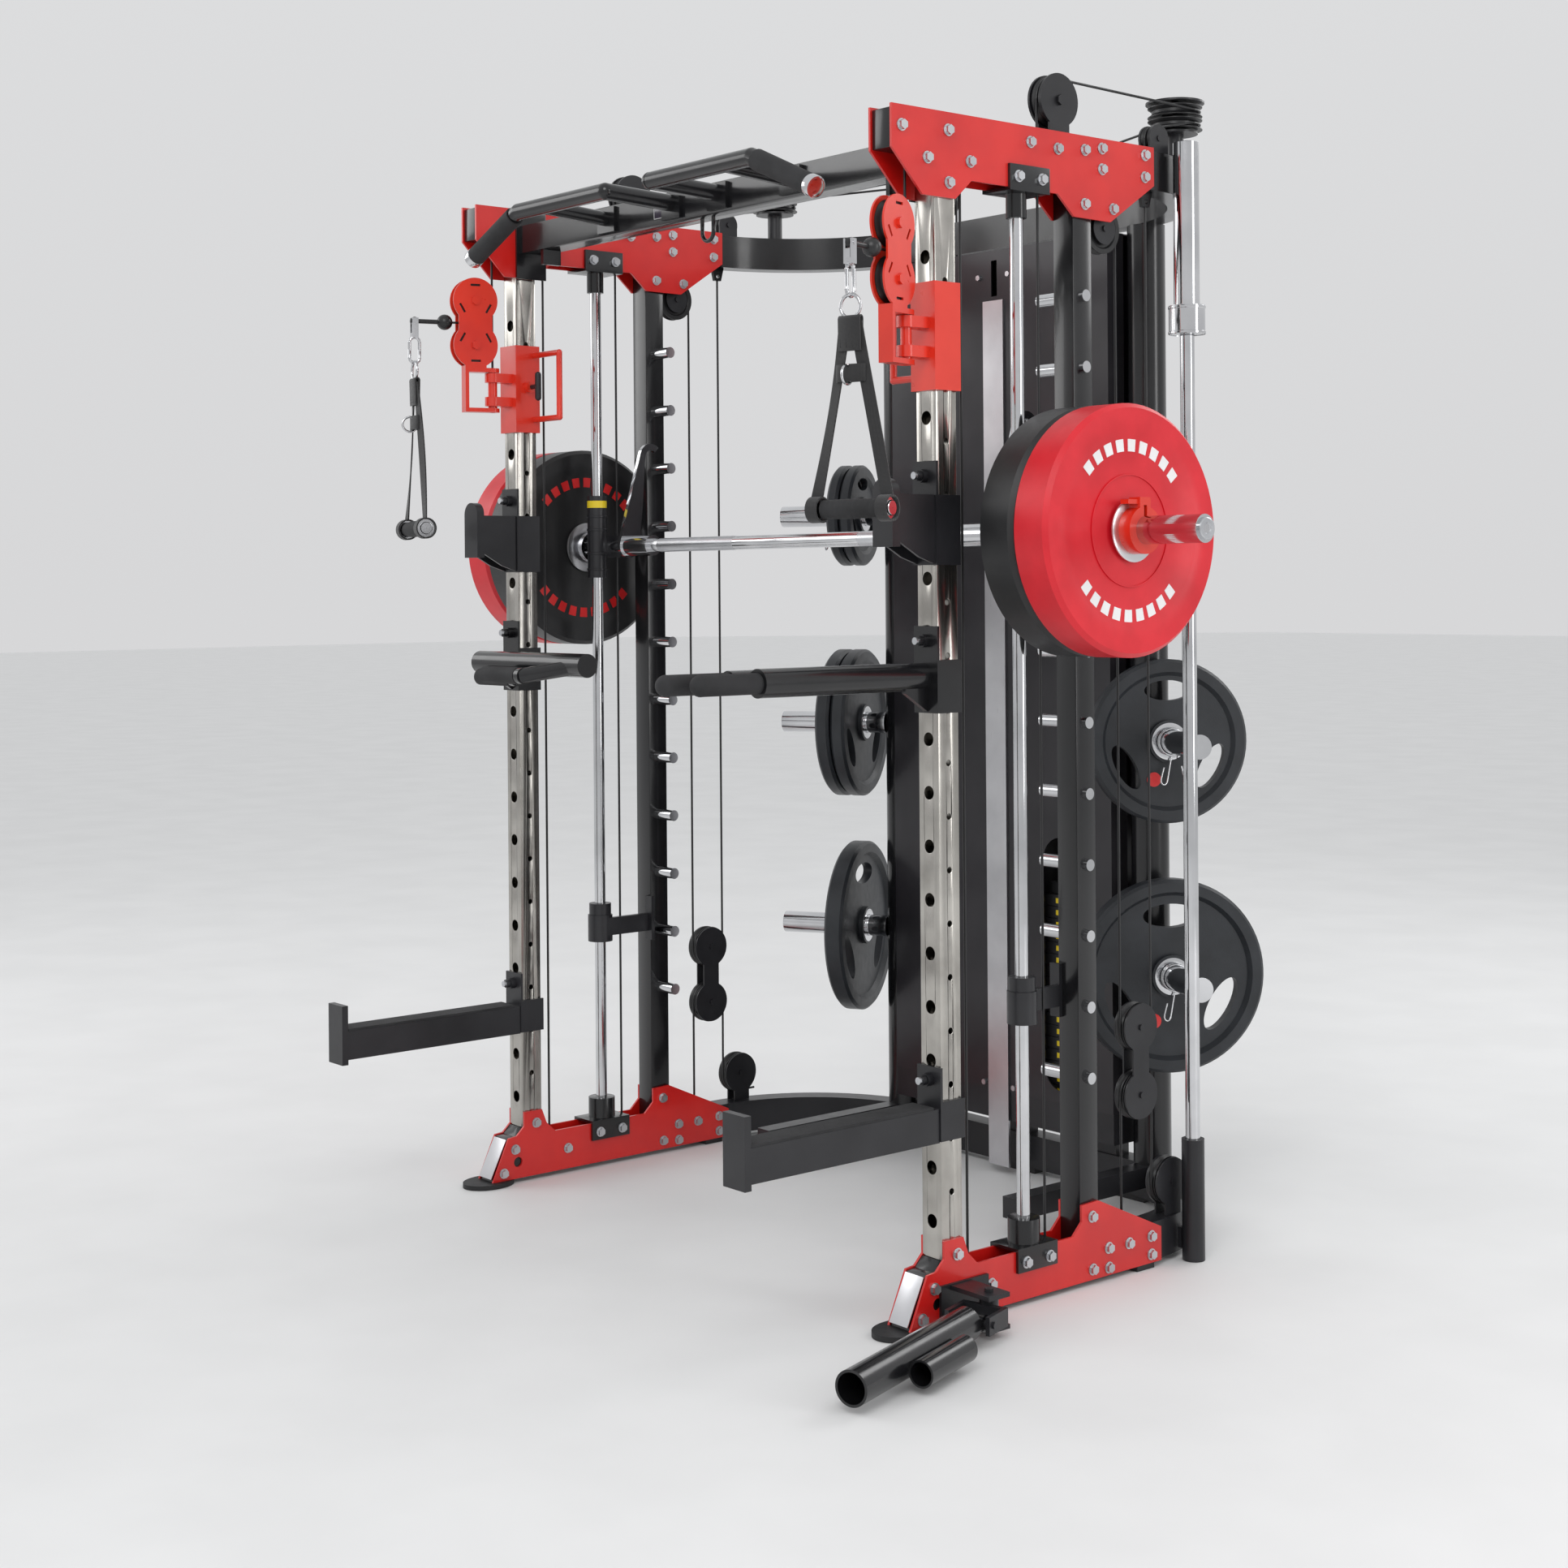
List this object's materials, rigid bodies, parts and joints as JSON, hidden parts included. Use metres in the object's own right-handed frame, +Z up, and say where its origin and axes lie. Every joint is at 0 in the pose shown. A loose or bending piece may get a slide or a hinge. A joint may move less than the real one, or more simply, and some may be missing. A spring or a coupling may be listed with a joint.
{
  "type": "smith machine",
  "caption": "Smith machine with a guided bar on rods, swivelling cable arms, a rear weight tower, plate storage, pull-up handles, dip bars, spotter arms and a landmine.",
  "frame": {"origin": "centre of the bounding box, on the floor", "axes": "+Z up, +X to the right-hand side frame as seen by a user facing the machine, the user side faces -Y"},
  "size_m": [2.171, 1.5896, 2.2693],
  "materials": {
    "side_plates": "semi-gloss powder coat",
    "frame_beams": "semi-gloss powder coat",
    "foot_pads": "matt",
    "front_uprights": "polished",
    "rear_uprights": "semi-gloss powder coat",
    "front_crossbar": "semi-gloss powder coat",
    "pullup_handles": "semi-gloss powder coat",
    "fixed_grips": "matt",
    "rear_top_band": "semi-gloss powder coat",
    "rear_base_band": "semi-gloss powder coat",
    "storage_columns": "semi-gloss powder coat",
    "storage_pegs": "mirror",
    "storage_plates": "matt",
    "tower_shroud": "semi-gloss powder coat",
    "tower_strip": "satin",
    "stack_left": "painted black",
    "stack_right": "painted black",
    "selector_left": "satin",
    "selector_right": "satin",
    "guide_rods": "mirror",
    "rod_mounts": "semi-gloss powder coat",
    "rack_pegs": "mirror",
    "smith_bar": "mirror",
    "bar_hooks": "mirror",
    "bar_bearings": "semi-gloss powder coat",
    "bumpers_black": "matt",
    "bumpers_red": "matt",
    "lock_jaws": "semi-gloss powder coat",
    "safety_stops": "semi-gloss powder coat",
    "carriage_left": "semi-gloss powder coat",
    "carriage_right": "semi-gloss powder coat",
    "pull_pin_left": "satin",
    "pull_pin_right": "satin",
    "swivel_block_left": "semi-gloss powder coat",
    "swivel_block_right": "semi-gloss powder coat",
    "wheel_left_up": "satin",
    "wheel_left_low": "satin",
    "wheel_right_up": "satin",
    "wheel_right_low": "satin",
    "ball_stop_left": "satin",
    "ball_stop_right": "satin",
    "handle_hw_left": "mirror",
    "handle_hw_right": "mirror",
    "strap_left": "woven webbing",
    "strap_right": "woven webbing",
    "grip_left": "matt",
    "grip_right": "matt",
    "j_cups": "semi-gloss powder coat",
    "dip_bars": "semi-gloss powder coat",
    "spotter_arms": "semi-gloss powder coat",
    "barbell": "mirror",
    "landmine_bracket": "semi-gloss powder coat",
    "landmine_yoke": "semi-gloss powder coat",
    "landmine_sleeve": "semi-gloss powder coat",
    "top_wheel_left": "satin",
    "top_wheel_right": "satin",
    "pulley_brackets": "semi-gloss powder coat",
    "pulley_wheels": "satin",
    "cables": "satin",
    "bolts": "polished"
  },
  "bodies": {
    "frame": {"side_plates": "side_plates", "frame_beams": "frame_beams", "foot_pads": "foot_pads", "front_uprights": "front_uprights", "rear_uprights": "rear_uprights", "front_crossbar": "front_crossbar", "pullup_handles": "pullup_handles", "fixed_grips": "fixed_grips", "rear_top_band": "rear_top_band", "rear_base_band": "rear_base_band", "storage_columns": "storage_columns", "storage_pegs": "storage_pegs", "storage_plates": "storage_plates", "tower_shroud": "tower_shroud", "tower_strip": "tower_strip", "guide_rods": "guide_rods", "rod_mounts": "rod_mounts", "rack_pegs": "rack_pegs", "safety_stops": "safety_stops", "j_cups": "j_cups", "dip_bars": "dip_bars", "spotter_arms": "spotter_arms", "landmine_bracket": "landmine_bracket", "pulley_brackets": "pulley_brackets", "pulley_wheels": "pulley_wheels", "cables": "cables", "bolts": "bolts"},
    "bar_carriage": {"bar_bearings": "bar_bearings"},
    "bar": {"smith_bar": "smith_bar", "bar_hooks": "bar_hooks", "bumpers_black": "bumpers_black", "bumpers_red": "bumpers_red", "lock_jaws": "lock_jaws"},
    "barbell": {"barbell": "barbell"},
    "landmine_yoke": {"landmine_yoke": "landmine_yoke"},
    "landmine_sleeve": {"landmine_sleeve": "landmine_sleeve"},
    "carriage_left": {"carriage_left": "carriage_left"},
    "pull_pin_left": {"pull_pin_left": "pull_pin_left"},
    "swivel_left": {"swivel_block_left": "swivel_block_left", "ball_stop_left": "ball_stop_left"},
    "wheel_left_up": {"wheel_left_up": "wheel_left_up"},
    "wheel_left_low": {"wheel_left_low": "wheel_left_low"},
    "handle_left": {"handle_hw_left": "handle_hw_left", "strap_left": "strap_left", "grip_left": "grip_left"},
    "stack_left": {"stack_left": "stack_left"},
    "selector_left": {"selector_left": "selector_left"},
    "top_wheel_left": {"top_wheel_left": "top_wheel_left"},
    "carriage_right": {"carriage_right": "carriage_right"},
    "pull_pin_right": {"pull_pin_right": "pull_pin_right"},
    "swivel_right": {"swivel_block_right": "swivel_block_right", "ball_stop_right": "ball_stop_right"},
    "wheel_right_up": {"wheel_right_up": "wheel_right_up"},
    "wheel_right_low": {"wheel_right_low": "wheel_right_low"},
    "handle_right": {"handle_hw_right": "handle_hw_right", "strap_right": "strap_right", "grip_right": "grip_right"},
    "stack_right": {"stack_right": "stack_right"},
    "selector_right": {"selector_right": "selector_right"},
    "top_wheel_right": {"top_wheel_right": "top_wheel_right"}
  },
  "joints": [
    {"name": "bar_lift", "type": "slide", "parent": "frame", "child": "bar_carriage", "axis": [0, 0, 1], "range_m": [-0.665, 0.399]},
    {"name": "bar_turn", "type": "hinge", "parent": "bar_carriage", "child": "bar", "pos_m": [0, 0.01926, 1.406], "axis": [1, 0, 0], "range_deg": [-16, 22]},
    {"name": "carriage_left_height", "type": "slide", "parent": "frame", "child": "carriage_left", "axis": [0, 0, 1], "range_m": [-0.095, 0]},
    {"name": "pull_pin_left_slide", "type": "slide", "parent": "carriage_left", "child": "pull_pin_left", "axis": [1, 0, 0], "range_m": [0, 0.011], "stiffness_N_per_m": 900, "springref_m": -0.01},
    {"name": "swivel_left_turn", "type": "hinge", "parent": "carriage_left", "child": "swivel_left", "pos_m": [-0.67, -0.29174, 1.75], "axis": [0, 0, 1], "range_deg": [-60, 75]},
    {"name": "wheel_left_up_spin", "type": "hinge", "parent": "swivel_left", "child": "wheel_left_up", "pos_m": [-0.68087, -0.33231, 1.944], "axis": [0.9659, -0.2588, 0], "continuous": true},
    {"name": "wheel_left_low_spin", "type": "hinge", "parent": "swivel_left", "child": "wheel_left_low", "pos_m": [-0.68087, -0.33231, 1.846], "axis": [0.9659, -0.2588, 0], "continuous": true},
    {"name": "handle_left_swing", "type": "hinge", "parent": "swivel_left", "child": "handle_left", "pos_m": [-0.71555, -0.46174, 1.895], "axis": [0.9659, -0.2588, 0], "range_deg": [-75, 8]},
    {"name": "stack_left_lift", "type": "slide", "parent": "frame", "child": "stack_left", "axis": [0, 0, 1], "range_m": [0, 0.3]},
    {"name": "selector_left_pull", "type": "slide", "parent": "stack_left", "child": "selector_left", "axis": [0, -1, 0], "range_m": [0, 0.06]},
    {"name": "top_wheel_left_spin", "type": "hinge", "parent": "frame", "child": "top_wheel_left", "pos_m": [-0.67, 0.08576, 2.212], "axis": [1, 0, 0], "continuous": true},
    {"name": "carriage_right_height", "type": "slide", "parent": "frame", "child": "carriage_right", "axis": [0, 0, 1], "range_m": [-0.095, 0]},
    {"name": "pull_pin_right_slide", "type": "slide", "parent": "carriage_right", "child": "pull_pin_right", "axis": [-1, 0, 0], "range_m": [0, 0.011], "stiffness_N_per_m": 900, "springref_m": -0.01},
    {"name": "swivel_right_turn", "type": "hinge", "parent": "carriage_right", "child": "swivel_right", "pos_m": [0.67, -0.29174, 1.75], "axis": [0, 0, 1], "range_deg": [-75, 60]},
    {"name": "wheel_right_up_spin", "type": "hinge", "parent": "swivel_right", "child": "wheel_right_up", "pos_m": [0.68087, -0.33231, 1.944], "axis": [0.9659, 0.2588, 0], "continuous": true},
    {"name": "wheel_right_low_spin", "type": "hinge", "parent": "swivel_right", "child": "wheel_right_low", "pos_m": [0.68087, -0.33231, 1.846], "axis": [0.9659, 0.2588, 0], "continuous": true},
    {"name": "handle_right_swing", "type": "hinge", "parent": "swivel_right", "child": "handle_right", "pos_m": [0.71555, -0.46174, 1.895], "axis": [0.9659, 0.2588, 0], "range_deg": [-75, 8]},
    {"name": "stack_right_lift", "type": "slide", "parent": "frame", "child": "stack_right", "axis": [0, 0, 1], "range_m": [0, 0.3]},
    {"name": "selector_right_pull", "type": "slide", "parent": "stack_right", "child": "selector_right", "axis": [0, -1, 0], "range_m": [0, 0.06]},
    {"name": "top_wheel_right_spin", "type": "hinge", "parent": "frame", "child": "top_wheel_right", "pos_m": [0.67, 0.08576, 2.212], "axis": [1, 0, 0], "continuous": true},
    {"name": "barbell_lift", "type": "slide", "parent": "frame", "child": "barbell", "axis": [0, 0, 1], "range_m": [0, 0.2]},
    {"name": "landmine_yoke_turn", "type": "hinge", "parent": "frame", "child": "landmine_yoke", "pos_m": [0.775, -0.20874, 0.044], "axis": [0, 0, 1], "range_deg": [-17, 50]},
    {"name": "landmine_sleeve_tilt", "type": "hinge", "parent": "landmine_yoke", "child": "landmine_sleeve", "pos_m": [0.7943, -0.27185, 0.042], "axis": [0.9563, 0.2924, 0], "range_deg": [-80, 0]}
  ]
}
